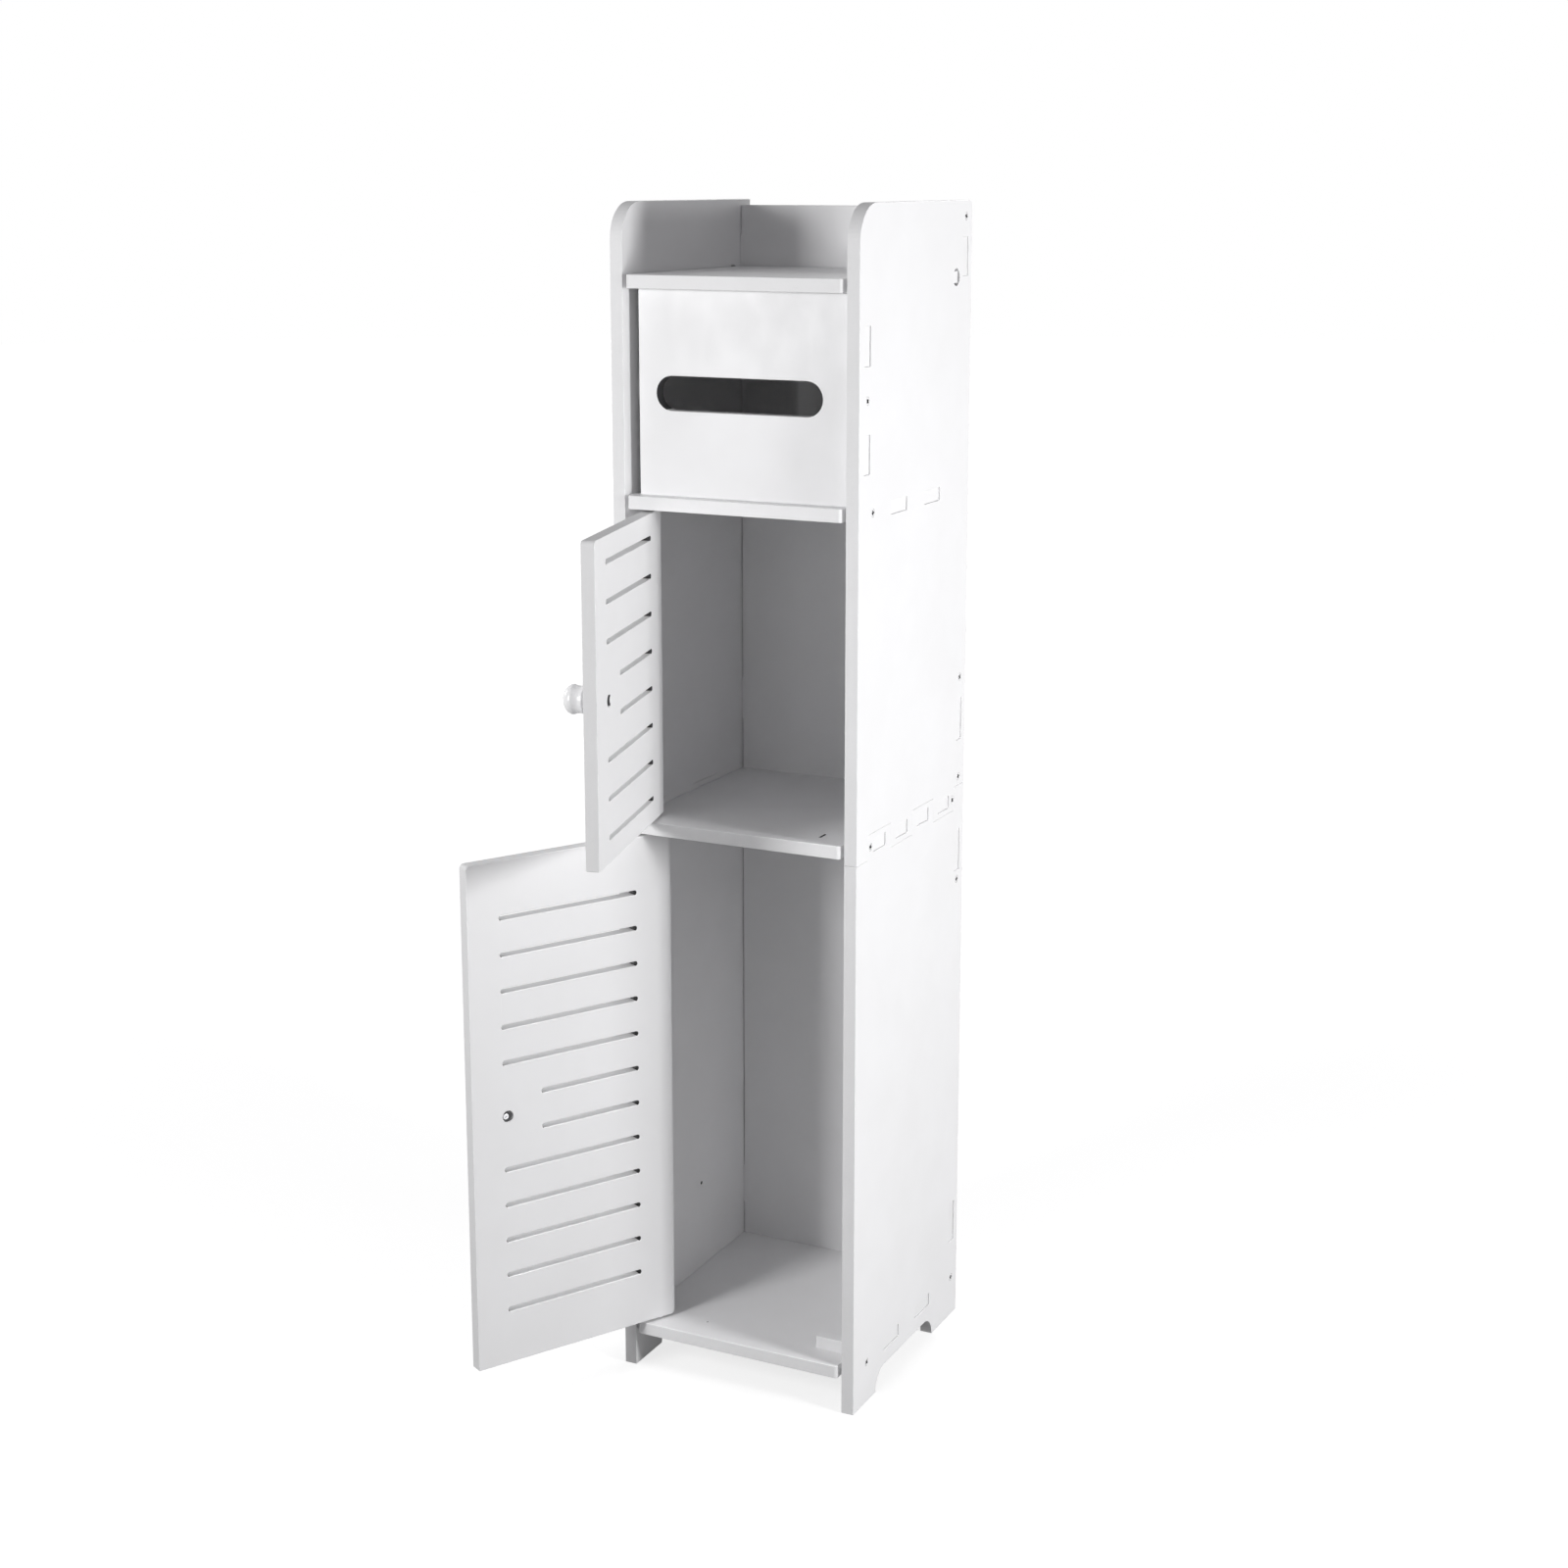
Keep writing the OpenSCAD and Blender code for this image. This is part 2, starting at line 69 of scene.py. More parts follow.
# Rings of a screw's head: share of its radius, and depth below its top.
# A dome's depths are shares of the head's height, the other's are metres.
DOME = ((0.86, 0.10), (0.97, 0.30), (1.0, 0.55), (1.0, 1.0))
COUNTERSUNK = ((0.95, 0.0), (1.0, 0.12 * MM), (1.0, 0.38 * MM))

RGB = tuple[float, float, float]
Pair = tuple[float, float]
Socket = bpy.types.NodeSocket
BMesh = bmesh.types.BMesh
BMFace = bmesh.types.BMFace
BMEdge = bmesh.types.BMEdge
BMVert = bmesh.types.BMVert


class Body(Enum):
    """The four bodies that move against each other."""

    CARCASS = "carcass"
    LID = "lid"
    UPPER_DOOR = "upper_door"
    LOWER_DOOR = "lower_door"


class Slot(Enum):
    """The record's material slots."""

    BOARD = "white_board"
    KNOB = "white_knob"
    STEEL = "steel"


class Layer(Enum):
    """Mesh layers that the finishes read.

    LAY holds a board's own coordinates, with its thickness along Z, RUB marks
    the broken edges, and the deep layer is the share of painted shade: full in
    slot ends, slits and small holes, and a little on a board's rim.
    """

    LAY = "lay"
    RUB = "rub"
    # Painted shade: how much of the near-black tone a corner takes.
    DEEP = "deep"


# --- node trees ---


@dataclass
class Bench:
    """Puts nodes and links into one node tree."""

    tree: bpy.types.NodeTree

    def add(self, kind: str, **settings: object) -> bpy.types.Node:
        """Adds a node.

        Args:
            kind: Blender's name of the node type.
            settings: Attributes of the node, such as operation.

        Returns:
            The new node.
        """
        node = self.tree.nodes.new(kind)
        for name, value in settings.items():
            setattr(node, name, value)
        return node

    def feed(self, node: bpy.types.Node, **values: object) -> bpy.types.Node:
        """Sets or links inputs of a node by their names.

        Args:
            node: The node that takes the values.
            values: Input names, with a space written as an underscore.

        Returns:
            The same node.
        """
        for name, value in values.items():
            self.plug(node.inputs[name.replace("_", " ")], value)
        return node

    def plug(self, target: Socket, value: object) -> None:
        """Links a socket, or sets its constant.

        Args:
            target: The input socket.
            value: An output socket, a number or a tuple.
        """
        if isinstance(value, Socket):
            self.tree.links.new(value, target)
        else:
            target.default_value = value

    def sums(self, operation: str, first: object, second: object = 0.0,
             clamp: bool = False) -> Socket:
        """Adds a Math node.

        Args:
            operation: The Math node's operation.
            first: Its first value.
            second: Its second value.
            clamp: Whether the result is kept between 0 and 1.

        Returns:
            The result.
        """
        node = self.add("ShaderNodeMath", operation=operation, use_clamp=clamp)
        self.plug(node.inputs[0], first)
        self.plug(node.inputs[1], second)
        return node.outputs[0]

    def shift(self, value: object, mask: object, amount: object) -> Socket:
        """Moves a value by an amount where a mask is.

        Args:
            value: The value.
            mask: Where it moves.
            amount: How far it moves where the mask is 1.

        Returns:
            The moved value.
        """
        return self.sums("ADD", value, self.sums("MULTIPLY", mask, amount))

    def bump(self, height: Socket, strength: float, distance: float) -> Socket:
        """Bends the normal by a height.

        Args:
            height: The height, from 0 to 1.
            strength: How much of it counts.
            distance: What a height of 1 is in metres.

        Returns:
            The normal.
        """
        node = self.add("ShaderNodeBump")
        self.feed(node, Strength=strength, Distance=distance, Height=height)
        return node.outputs[0]

    def span(self, value: Socket, low: float, high: float,
             to_low: object, to_high: object) -> Socket:
        """Maps a value from one span to another, smoothly and clamped.

        Args:
            value: The value that is mapped.
            low: Start of the span it has.
            high: End of the span it has.
            to_low: Result at the start.
            to_high: Result at the end.

        Returns:
            The mapped value.
        """
        node = self.add("ShaderNodeMapRange", interpolation_type="SMOOTHSTEP")
        for place, given in enumerate((value, low, high, to_low, to_high)):
            self.plug(node.inputs[place], given)
        return node.outputs[0]

    def blend(self, share: object, first: object, second: object) -> Socket:
        """Mixes two colours.

        Args:
            share: How much of the second colour there is.
            first: The first colour.
            second: The second colour.

        Returns:
            The mixed colour.
        """
        node = self.add("ShaderNodeMix", data_type="RGBA", blend_type="MIX")
        self.plug(node.inputs[0], share)
        self.plug(node.inputs[MIX_FIRST], colour(first))
        self.plug(node.inputs[MIX_SECOND], colour(second))
        return node.outputs[MIX_RESULT]

    def noise(self, place: Socket, size: object, detail: float = 2.0,
              roughness: float = 0.5, distortion: float = 0.0) -> Socket:
        """Adds a noise pattern.

        Args:
            place: Where the pattern is read.
            size: Size of its features in metres.
            detail: Number of finer layers.
            roughness: Strength of the finer layers.
            distortion: How far the pattern is pulled about.

        Returns:
            A value of about 0 to 1.
        """
        node = self.add("ShaderNodeTexNoise")
        self.feed(node, Vector=place, Scale=self.sums("DIVIDE", 1.0, size), Detail=detail,
                  Roughness=roughness, Distortion=distortion)
        return node.outputs["Fac"]

    def layer(self, layer: Layer, output: str = "Fac") -> Socket:
        """Reads one of the mesh layers."""
        return self.add("ShaderNodeAttribute", attribute_name=layer.value).outputs[output]

    def stretch(self, place: Socket, scale: Sequence[float]) -> Socket:
        """Stretches a pattern's coordinates by a factor on each axis."""
        node = self.add("ShaderNodeMapping")
        self.feed(node, Vector=place, Scale=tuple(scale))
        return node.outputs[0]


def colour(value: object) -> object:
    """Gives a plain colour its alpha, and passes a socket on."""
    if isinstance(value, tuple) and len(value) == 3:
        return (*value, 1.0)
    return value


@dataclass
class Effect:
    """A shared node group with a place, named numbers and one output."""

    name: str
    output: str
    numbers: dict[str, float]
    bench: Bench = field(init=False)

    def __post_init__(self) -> None:
        """Makes the group with its sockets."""
        tree = bpy.data.node_groups.new(self.name, "ShaderNodeTree")
        self.bench = Bench(tree)
        socket = tree.interface.new_socket
        socket(name="Place", in_out="INPUT", socket_type="NodeSocketVector")
        for name, value in self.numbers.items():
            made = socket(name=name, in_out="INPUT", socket_type="NodeSocketFloat")
            made.default_value = value
        socket(name=self.output, in_out="OUTPUT", socket_type="NodeSocketFloat")

    def start(self) -> tuple[Bench, ...]:
        """Gives the group's bench, its place and its numbers in their order."""
        given = self.bench.add("NodeGroupInput")
        return (self.bench, *(given.outputs[name] for name in ("Place", *self.numbers)))

    def give(self, value: Socket) -> Effect:
        """Sends a value to the group's output, and returns the group."""
        self.bench.plug(self.bench.add("NodeGroupOutput").inputs[self.output], value)
        return self

    def read(self, bench: Bench, place: Socket, **values: float) -> Socket:
        """Puts the group into a material.

        Args:
            bench: The material's bench.
            place: Where its patterns are read.
            values: Its numbers in this material.

        Returns:
            The group's output.
        """
        node = bench.add("ShaderNodeGroup", node_tree=self.bench.tree)
        return bench.feed(node, Place=place, **values).outputs[0]


class Effects:
    """The effects that the finishes share."""

    def __init__(self) -> None:
        """Builds each effect once."""
        self.cloud = self._cloud()
        self.peel = self._peel()
        self.pits = self._pits()
        self.chatter = self._chatter()
        self.rub = self._rub()
        self.smear = self._smear()

    @staticmethod
    def _cloud() -> Effect:
        """Slow mottling of a colour or of its gloss."""
        effect = Effect("soft_cloud", "Mask", {"Size": 0.06, "Spread": 0.3})
        bench, place, size, spread = effect.start()
        wide = bench.noise(place, size, detail=3.0, roughness=0.55)
        mask = bench.sums("DIVIDE", bench.sums("SUBTRACT", wide, 0.5), spread)
        return effect.give(bench.sums("ADD", mask, 0.5, clamp=True))

    @staticmethod
    def _peel() -> Effect:
        """The faint orange peel of an extruded or moulded skin."""
        effect = Effect("skin_peel", "Height", {"Size": 0.0012, "Fine": 0.25})
        bench, place, size, share = effect.start()
        coarse = bench.noise(place, size, detail=1.0, roughness=0.4)
        fine = bench.noise(place, bench.sums("MULTIPLY", size, 0.22), detail=1.0)
        return effect.give(bench.shift(coarse, fine, share))

    @staticmethod
    def _pits() -> Effect:
        """Cut foam cells: small round pits in the core of a board, in patches."""
        effect = Effect("foam_cells", "Pits", {"Size": 0.0006, "Share": 0.3})
        bench, place, size, share = effect.start()
        cell = bench.add("ShaderNodeTexVoronoi", feature="F1", distance="EUCLIDEAN")
        bench.feed(cell, Vector=place, Scale=bench.sums("DIVIDE", 1.0, size), Randomness=1.0)
        shaded_pit = bench.span(cell.outputs["Distance"], 0.12, 0.34, to_low=1.0, to_high=0.0)
        patch = bench.noise(place, bench.sums("MULTIPLY", size, 6.0), detail=1.0)
        few = bench.span(patch, 0.35, 0.65, to_low=0.25, to_high=1.0)
        less = bench.sums("MULTIPLY", bench.sums("SUBTRACT", 1.0, share), 0.5)
        few = bench.sums("SUBTRACT", few, less, clamp=True)
        return effect.give(bench.sums("MULTIPLY", shaded_pit, few))

    @staticmethod
    def _chatter() -> Effect:
        """Fine lines that the cutter leaves across the thickness of a board."""
        effect = Effect("cutter_chatter", "Height", {"Pitch": 0.0014})
        bench, place, pitch = effect.start()
        along = bench.stretch(place, (1.0, 1.0, 0.04))
        lines = bench.noise(along, pitch, detail=1.0)
        slow = bench.noise(along, bench.sums("MULTIPLY", pitch, 7.0), detail=1.0)
        return effect.give(bench.shift(lines, slow, 0.6))

    @staticmethod
    def _rub() -> Effect:
        """Handled edges: the broken edges' own layer, worn in stretches."""
        effect = Effect("edge_rub", "Mask", {"Size": 0.02, "Amount": 1.0})
        bench, place, size, amount = effect.start()
        patch = bench.noise(place, size, detail=3.0, roughness=0.65)
        worn = bench.span(patch, 0.4, 0.62, to_low=0.25, to_high=1.0)
        mask = bench.sums("MULTIPLY", bench.layer(Layer.RUB), worn)
        return effect.give(bench.sums("MULTIPLY", mask, amount, clamp=True))

    @staticmethod
    def _smear() -> Effect:
        """Wiped streaks that change only the gloss."""
        effect = Effect("wiped_streaks", "Mask", {"Size": 0.05})
        bench, place, size = effect.start()
        drawn = bench.stretch(place, (1.0, 0.35, 1.0))
        streak = bench.noise(drawn, size, detail=4.0, roughness=0.6, distortion=1.2)
        return effect.give(bench.span(streak, 0.42, 0.68, to_low=0.0, to_high=1.0))


# --- finishes ---


def new_material(name: str) -> tuple[bpy.types.Material, Bench, bpy.types.Node]:
    """Makes a material with its Principled shader.

    Args:
        name: The material's name.

    Returns:
        The material, its bench and its shader.
    """
    material = bpy.data.materials.new(name)
    material.use_nodes = True
    shader = material.node_tree.nodes["Principled BSDF"]
    return material, Bench(material.node_tree), shader


@dataclass(frozen=True)
class BoardFinish:
    """Foamed board: a satin skin on the faces, bare core on the cut edges."""

    white: RGB = (0.800, 0.799, 0.808)
    warm: RGB = (0.778, 0.776, 0.782)
    bare: RGB = (0.812, 0.811, 0.819)
    core: RGB = (0.788, 0.787, 0.791)
    # Darker tone of the foam pits: painted shade in them.
    shaded_pit: RGB = (0.60, 0.60, 0.61)
    handled: RGB = (0.84, 0.84, 0.845)
    # Near black: painted shade in slot ends, slits and small holes, and a share of it on the rim.
    painted_shade: RGB = (0.035, 0.034, 0.036)
    gloss: float = 0.40
    dull: float = 0.50
    core_rough: float = 0.62
    pit_rough: float = 0.82
    ior: float = 1.46

    def skin(self, effects: Effects) -> bpy.types.Material:
        """Makes the satin skin.

        Args:
            effects: The shared effects.

        Returns:
            The material.
        """
        material, bench, shader = new_material("board_skin")
        lay = bench.layer(Layer.LAY, "Vector")
        cloud = effects.cloud.read(bench, lay, Size=0.07, Spread=0.4)
        rub = effects.rub.read(bench, lay, Size=0.025, Amount=0.8)
        smear = effects.smear.read(bench, lay, Size=0.06)
        peel = effects.peel.read(bench, lay, Size=0.0016, Fine=0.3)
        tone = bench.blend(cloud, self.white, self.warm)
        tone = bench.blend(rub, tone, self.handled)
        satin = bench.span(cloud, 0.0, 1.0, self.gloss, self.dull)
        satin = bench.shift(bench.shift(satin, smear, -0.06), rub, -0.08)
        bench.feed(shader, Base_Color=tone, Roughness=satin, IOR=self.ior,
                   Normal=bench.bump(peel, strength=0.10, distance=0.06 * MM))
        return material

    def cut(self, effects: Effects) -> bpy.types.Material:
        """Makes the cut edge with its pits and cutter lines.

        Args:
            effects: The shared effects.

        Returns:
            The material.
        """
        material, bench, shader = new_material("board_cut_edge")
        lay = bench.layer(Layer.LAY, "Vector")
        pits = effects.pits.read(bench, lay, Size=0.0007, Share=0.35)
        lines = effects.chatter.read(bench, lay, Pitch=0.0016)
        rub = effects.rub.read(bench, lay, Size=0.018)
        cloud = effects.cloud.read(bench, lay, Size=0.03, Spread=0.5)
        tone = bench.blend(cloud, self.bare, self.core)
        # The pits are drawn darker: painted shade.
        tone = bench.blend(bench.sums("MULTIPLY", pits, 0.5), tone, self.shaded_pit)
        tone = bench.blend(rub, tone, self.handled)
        # Painted shade, read from the deep layer.
        tone = bench.blend(bench.layer(Layer.DEEP), tone, self.painted_shade)
        rough = bench.span(pits, 0.0, 1.0, self.core_rough, self.pit_rough)
        height = bench.shift(bench.sums("SUBTRACT", 1.0, pits), lines, 0.5)
        bench.feed(shader, Base_Color=tone, Roughness=bench.shift(rough, rub, -0.18),
                   IOR=self.ior, Normal=bench.bump(height, strength=0.22, distance=0.1 * MM))
        return material


@dataclass(frozen=True)
class SmallFinish:
    """The finish of a small piece: two mottled tones, streaks and a fine relief.

    The pairs are the roughness where the mottling is 0 and 1, the size and
    spread of the mottling, the sizes of streaks and wear and how much each
    adds to the roughness, the size and fine share of the relief, and the
    strength and height of its bump. Sizes and heights are in metres.
    """

    name: str
    tones: tuple[RGB, RGB]
    rough: Pair
    mottle: Pair
    streaks: Pair
    relief: Pair
    bump: Pair
    wear: Pair = (4.0 * MM, 0.0)
    metallic: float = 0.0
    ior: float = 1.5

    def make(self, effects: Effects) -> bpy.types.Material:
        """Makes the material.

        Args:
            effects: The shared effects.

        Returns:
            The material.
        """
        material, bench, shader = new_material(self.name)
        place = object_place(bench)
        size, spread = self.mottle
        cloud = effects.cloud.read(bench, place, Size=size, Spread=spread)
        rough = bench.span(cloud, 0.0, 1.0, *self.rough)
        for effect, (size, more) in ((effects.smear, self.streaks), (effects.rub, self.wear)):
            rough = bench.shift(rough, effect.read(bench, place, Size=size), more)
        size, fine = self.relief
        relief = effects.peel.read(bench, place, Size=size, Fine=fine)
        bench.feed(shader, Base_Color=bench.blend(cloud, *self.tones), Roughness=rough,
                   Metallic=self.metallic, IOR=self.ior,
                   Normal=bench.bump(relief, *self.bump))
        return material


KNOB = SmallFinish(
    "knob_plastic", ((0.765, 0.765, 0.772), (0.735, 0.735, 0.742)), rough=(0.20, 0.27),
    mottle=(12.0 * MM, 0.5), streaks=(10.0 * MM, 0.09), relief=(1.8 * MM, 0.1),
    bump=(0.08, 0.1 * MM), wear=(4.0 * MM, 0.08), ior=1.49)
COAT = replace(KNOB, name="white_coat", tones=((0.82, 0.82, 0.826), (0.80, 0.80, 0.806)))
STEEL = SmallFinish(
    "zinc_steel", ((0.84, 0.845, 0.86), (0.70, 0.705, 0.725)), rough=(0.27, 0.42),
    mottle=(2.2 * MM, 0.35), streaks=(1.2 * MM, 0.1), relief=(0.4 * MM, 0.5),
    bump=(0.2, 0.04 * MM), metallic=1.0)
# Near black: painted shade in the cross recess of the side screws.
RECESS_SHADE = replace(STEEL, name="recess_shade_steel", tones=((0.035, 0.035, 0.038), (0.02, 0.02, 0.022)))
# Near black: the washer is real, and its dark tone is painted shade round the head.
SHADE_WASHER = SmallFinish(
    "washer_painted_shade", ((0.022, 0.022, 0.024), (0.06, 0.06, 0.062)), rough=(0.62, 0.8),
    mottle=(2.0 * MM, 0.4), streaks=(1.0 * MM, 0.0), relief=(0.5 * MM, 0.6),
    bump=(0.3, 0.05 * MM))


def object_place(bench: Bench) -> Socket:
    """Reads the object coordinates."""
    return bench.add("ShaderNodeTexCoord").outputs["Object"]


class Finishes:
    """Every material of the column, made once."""

    def __init__(self) -> None:
        """Makes the shared effects and the materials from them."""
        effects = Effects()
        board = BoardFinish()
        self.skin = board.skin(effects)
        self.cut = board.cut(effects)
        self.knob, self.coat, self.steel, self.oxide, self.washer = (
            finish.make(effects) for finish in (KNOB, COAT, STEEL, RECESS_SHADE, SHADE_WASHER))


# --- mesh helpers ---


def merged_copy(node: str) -> BMesh:
    """Copies the mesh of a solid and joins its loose triangles.

    Args:
        node: Name of the solid.

    Returns:
        The copy, with flat faces in as few pieces as they can have.
    """
    shape = bmesh.new()
    shape.from_mesh(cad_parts[node].data)
    bmesh.ops.remove_doubles(shape, verts=shape.verts, dist=WELD)
    bmesh.ops.dissolve_limit(shape, angle_limit=math.radians(FLAT_ANGLE), verts=shape.verts,
                             edges=shape.edges, use_dissolve_boundaries=False)
    return shape


def sharp_edges(shape: BMesh, angle: float) -> list[BMEdge]:
    """Lists the edges where two faces meet at more than an angle.

    Args:
        shape: The mesh.
        angle: The least angle in degrees.

    Returns:
        The edges.
    """
    least = math.radians(angle)
    return [edge for edge in shape.edges
            if len(edge.link_faces) == 2 and edge.calc_face_angle(0.0) > least]


def is_strip(face: BMFace, width: float) -> bool:
    """Tells whether a face is part of a broken edge.

    Args:
        face: The face.
        width: How far the edge was broken.

    Returns:
        Whether the face is narrower than the break.
    """
    longest = max(edge.calc_length() for edge in face.edges)
    return face.calc_area() < STRIP_FILL * width * max(longest, width)


def break_edges(shape: BMesh, edges: Iterable[BMEdge], width: float) -> None:
    """Bevels edges as a router or a mould leaves them.

    Args:
        shape: The mesh.
        edges: The edges.
        width: How far each edge is broken.
    """
    bmesh.ops.bevel(shape, geom=list(edges), offset=width, offset_type="OFFSET", segments=2,
                    profile=0.5, affect="EDGES", clamp_overlap=False, material=-1,
                    loop_slide=False)


def thickness_axis(shape: BMesh) -> Vector:
    """Finds the direction that most of a board's surface faces.

    Args:
        shape: The board's mesh.

    Returns:
        A unit vector through the board's thickness.
    """
    totals: dict[tuple[float, float, float], float] = {}
    for face in shape.faces:
        normal = face.normal
        if max(normal, key=abs) < 0:
            normal = -normal
        key = (round(normal.x, 2), round(normal.y, 2), round(normal.z, 2))
        totals[key] = totals.get(key, 0.0) + face.calc_area()
    return Vector(max(totals, key=totals.get)).normalized()


def islands(shape: BMesh) -> list[list[BMVert]]:
    """Splits a mesh into its loose parts, in the same order on every run.

    Args:
        shape: The mesh.

    Returns:
        The vertices of each loose part.
    """
    left = dict.fromkeys(shape.verts)
    parts = []
    while left:
        part, queue = [], [left.popitem()[0]]
        while queue:
            vert = queue.pop()
            part.append(vert)
            for edge in vert.link_edges:
                other = edge.other_vert(vert)
                if other in left:
                    del left[other]
                    queue.append(other)
        parts.append(part)
    return parts


def corners(verts: Iterable[BMVert]) -> tuple[Vector, Vector]:
    """Gives the lowest and the highest corner around some vertices."""
    places = [vert.co for vert in verts]
    low = Vector([min(place[axis] for place in places) for axis in range(3)])
    high = Vector([max(place[axis] for place in places) for axis in range(3)])
    return low, high


def mark(shape: BMesh, layer: Layer, faces: Iterable[BMFace], value: float) -> None:
    """Writes a value into a layer at every corner of some faces.

    Args:
        shape: The mesh, which gets the layer if it has none.
        layer: The layer.
        faces: The faces.
        value: The value.
    """
    floats = shape.loops.layers.float
    target = floats.get(layer.value) or floats.new(layer.value)
    for face in faces:
        for loop in face.loops:
            loop[target] = value


def as_piece(name: str, shape: BMesh, materials: Sequence[bpy.types.Material],
             sharp: float = 50.0) -> bpy.types.Object:
    """Turns a finished mesh into an object at the origin.

    Args:
        name: Name of the piece.
        shape: The mesh, which is freed.
        materials: Its materials, in the order of its face indices.
        sharp: Edges above this angle in degrees stay crisp.

    Returns:
        The object.
    """
    for edge in shape.edges:
        edge.smooth = edge.calc_face_angle(0.0) < math.radians(sharp)
    mesh = bpy.data.meshes.new(name)
    shape.to_mesh(mesh)
    shape.free()
    for material in materials:
        mesh.materials.append(material)
    piece = bpy.data.objects.new(name, mesh)
    bpy.context.scene.collection.objects.link(piece)
    return piece


def settle(piece: bpy.types.Object, body: Body, slot: Slot, *nodes: str) -> None:
    """Hands a piece to its body and hides the solids it stands for.

    Args:
        piece: The piece.
        body: The body it moves with.
        slot: The record's slot; not used.
        nodes: The solids that it replaces.
    """
    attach(piece, body.value)
    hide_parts(*nodes)
    log.info("%s rides on %s, %d faces", piece.name, body.value, len(piece.data.polygons))


# --- boards ---


@dataclass
class Board:
    """One flat board, dressed from its solid.

    The dots compare a face's normal with the board's thickness (skin, wall)
    or with the vertical (level, end). Its rim takes a share of painted shade.
    """

    node: str
    body: Body
    break_width: float = 0.5 * MM
    edge_angle: float = 35.0
    flat_angle: float = 0.6
    curve_angle: float = 20.0
    curve_step: float = 6.0 * MM
    slot_high: float = 40.0 * MM
    hole_wide: float = 3.1 * MM
    slit_wide: float = 2.0 * MM
    slit_long: float = 14.0 * MM
    slot_ratio: float = 4.0
    skin_dot: float = 0.72
    wall_dot: float = 0.2
    level_dot: float = 0.99
    end_dot: float = 0.93
    # Share of painted shade on the rim.
    painted_rim_shade: float = 0.0

    def shape(self) -> BMesh:
        """Breaks the board's edges and marks skin, cut edges and curves.

        Returns:
            The finished mesh.
        """
        shape = merged_copy(self.node)
        axis = thickness_axis(shape)
        curved = self._curved(shape)
        break_edges(shape, sharp_edges(shape, self.edge_angle), self.break_width)
        broken = {face for face in shape.faces if is_strip(face, self.break_width)}
        mark(shape, Layer.RUB, broken, 1.0)
        lay = shape.verts.layers.float_vector.new(Layer.LAY.value)
        turn = axis.to_track_quat("Z", "Y").to_matrix().transposed()
        for face in shape.faces:
            face.material_index = 0 if abs(face.normal.dot(axis)) > self.skin_dot else 1
            face.smooth = face in broken or face in curved
        rings = self._rings({face for face in shape.faces
                             if abs(face.normal.dot(axis)) < self.wall_dot})
        rim = max(rings, key=lambda ring: self._size(ring).length)
        # Painted shade: a share on the rim, and full in slot ends, slits and small holes.
        mark(shape, Layer.DEEP, self._with_rims(rim, broken), self.painted_rim_shade)
        mark(shape, Layer.DEEP, self._with_rims(self._painted_shade_walls(rings), broken), 1.0)
        for vert in shape.verts:
            vert[lay] = turn @ vert.co
        return shape

    def _curved(self, shape: BMesh) -> set[BMFace]:
        """Finds the faces of rounded ends and holes.

        Args:
            shape: The mesh before its edges are broken.

        Returns:
            The faces that are part of a curve.
        """
        least, most = math.radians(self.flat_angle), math.radians(self.curve_angle)
        curve = set()
        for edge in shape.edges:
            if len(edge.link_faces) == 2 and least < edge.calc_face_angle(0.0) < most:
                curve.update(face for face in edge.link_faces
                             if self._reach(face, edge) < self.curve_step)
        return curve

    @staticmethod
    def _rings(walls: set[BMFace]) -> list[set[BMFace]]:
        """Groups the cut faces into the rings round each opening and the rim.

        Args:
            walls: The cut faces of the board.

        Returns:
            The faces of each ring.
        """
        left, rings = set(walls), []
        while left:
            ring = {left.pop()}
            front = list(ring)
            while front:
                face = front.pop()
                near = {other for edge in face.edges for other in edge.link_faces} & left
                left -= near
                ring |= near
                front.extend(near)
            rings.append(ring)
        return rings

    @staticmethod
    def _size(ring: set[BMFace]) -> Vector:
        """Gives the size of the box around some faces."""
        low, high = corners({vert for face in ring for vert in face.verts})
        return high - low

    def _painted_shade_walls(self, rings: list[set[BMFace]]) -> set[BMFace]:
        """Finds the slot ends, narrow slits and small holes of a board.

        Args:
            rings: The cut faces, ring by ring.

        Returns:
            The faces that take full painted shade.
        """
        dark = set()
        for ring in rings:
            size = self._size(ring)
            level = any(abs(face.normal.z) > self.level_dot for face in ring)
            if (level and size.z < self.slot_high
                    and size.xy.length > self.slot_ratio * size.z):
                dark.update(face for face in ring if abs(face.normal.z) < self.end_dot)
            small, middle, large = sorted(size)
            if middle < self.hole_wide or (small < self.slit_wide and large < self.slit_long):
                dark |= ring
        return dark

    @staticmethod
    def _with_rims(dark: set[BMFace], broken: set[BMFace]) -> set[BMFace]:
        """Adds the broken edges along the dark faces.

        A broken edge is two strips wide, so there are two rounds. A strip is
        along a face when they share more than half of its longest edge.

        Args:
            dark: The dark faces.
            broken: The faces of all broken edges.

        Returns:
            The dark faces and both strips along each of them.
        """
        for _ in range(2):
            dark = dark | {
                near for face in dark for edge in face.edges for near in edge.link_faces
                if near in broken
                and 2 * edge.calc_length() > max(side.calc_length() for side in near.edges)}
        return dark

    @staticmethod
    def _reach(face: BMFace, edge: BMEdge) -> float:
        """Measures how far a face reaches from one of its edges.

        Args:
            face: The face.
            edge: The edge.

        Returns:
            The distance in metres.
        """
        start = edge.verts[0].co
        along = (edge.verts[1].co - start).normalized()
        return max((vert.co - start).cross(along).length for vert in face.verts)

    def dress(self, finishes: Finishes) -> None:
        """Builds the piece and puts it in place of its solid.

        Args:
            finishes: The materials.
        """
        piece = as_piece(f"{self.node}_board", self.shape(), (finishes.skin, finishes.cut))
        settle(piece, self.body, Slot.BOARD, self.node)


